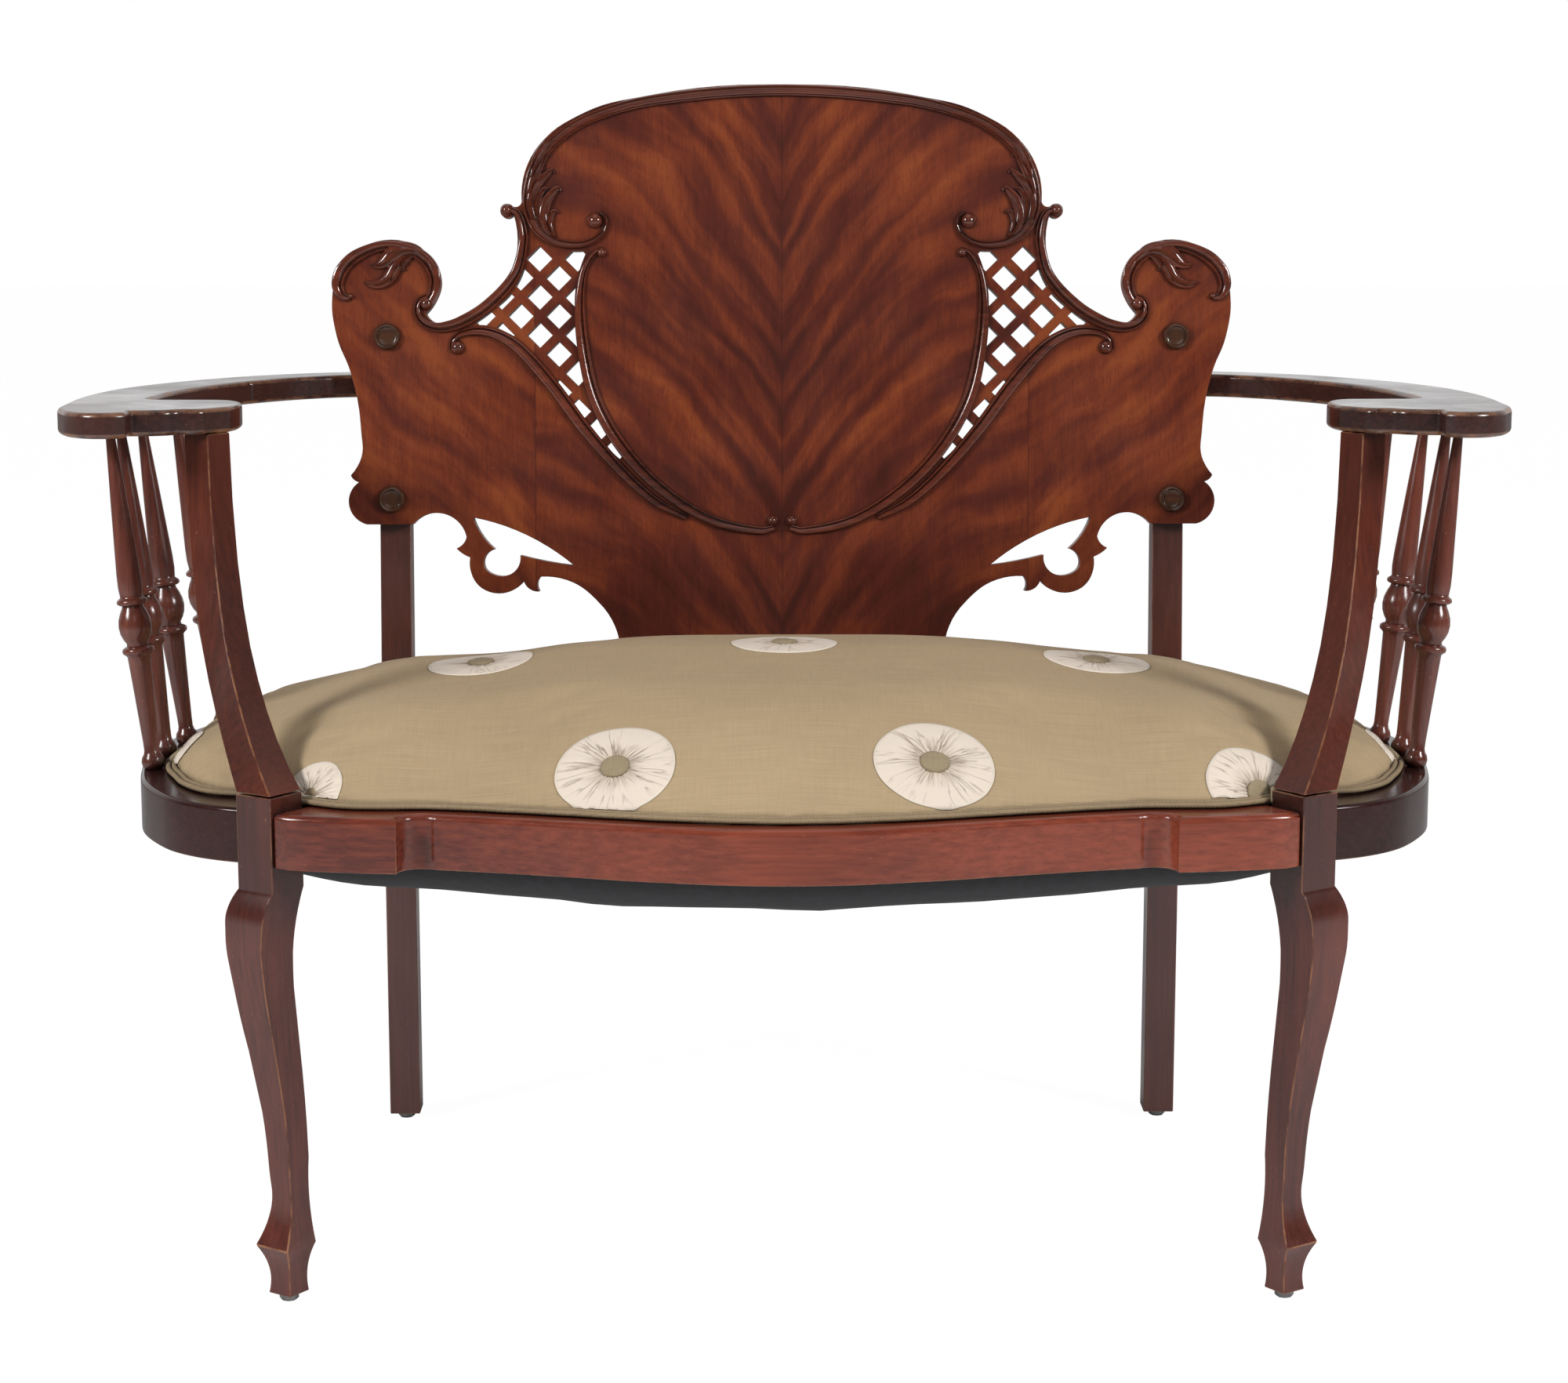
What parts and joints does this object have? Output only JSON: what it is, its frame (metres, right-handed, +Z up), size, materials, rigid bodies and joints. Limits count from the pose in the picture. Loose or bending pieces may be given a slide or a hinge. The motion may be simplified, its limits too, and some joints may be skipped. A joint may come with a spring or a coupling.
{
  "type": "settee",
  "caption": "Settee with a fretted scroll-cut back board, lattice grilles, curved open arms on turned spindles, cabriole front legs and a serpentine padded seat.",
  "frame": {"origin": "on the floor, under the middle of the settee's outline", "axes": "+X to the right as seen from the front, +Y towards the back, +Z up"},
  "size_m": [1.1338, 0.6332, 0.9235],
  "materials": {
    "frame_wood": "glossy shellacked red-brown mahogany",
    "board_wood": "glossy flame-figured mahogany veneer",
    "arm_wood": "glossy near-black brown mahogany",
    "dark_wood": "glossy dark red-brown carved mahogany",
    "seat_cloth": "khaki-tan fine weave",
    "rosette_silk": "cream pleated silk",
    "stuffing": "hair and wadding",
    "webbing": "jute straps",
    "black_cloth": "black cambric",
    "glide_metal": "plain steel"
  },
  "bodies": {
    "root": {"front_rail": "frame_wood", "rear_rail": "frame_wood", "back_splat": "board_wood", "corner_blocks": "frame_wood", "splat_buttons": "dark_wood", "side_rail_left": "frame_wood", "front_leg_left": "frame_wood", "rear_post_left": "frame_wood", "arm_support_left": "frame_wood", "arm_front_left": "arm_wood", "arm_middle_left": "arm_wood", "arm_rear_left": "arm_wood", "spindle_left_1": "frame_wood", "spindle_left_2": "frame_wood", "spindle_left_3": "frame_wood", "spindle_left_4": "frame_wood", "side_rail_right": "frame_wood", "front_leg_right": "frame_wood", "rear_post_right": "frame_wood", "arm_support_right": "frame_wood", "arm_front_right": "arm_wood", "arm_middle_right": "arm_wood", "arm_rear_right": "arm_wood", "spindle_right_1": "frame_wood", "spindle_right_2": "frame_wood", "spindle_right_3": "frame_wood", "spindle_right_4": "frame_wood", "crest_moulding": "dark_wood", "wing_mouldings": "dark_wood", "cove_mouldings": "dark_wood", "oval_mouldings": "dark_wood", "shoulder_mouldings": "dark_wood", "seat_pad": "seat_cloth", "seat_filling": "stuffing", "seat_welt": "seat_cloth", "rosettes": "rosette_silk", "rosette_buttons": "seat_cloth", "seat_webbing": "webbing", "dust_cover": "black_cloth", "foot_glides": "glide_metal"}
  },
  "joints": []
}
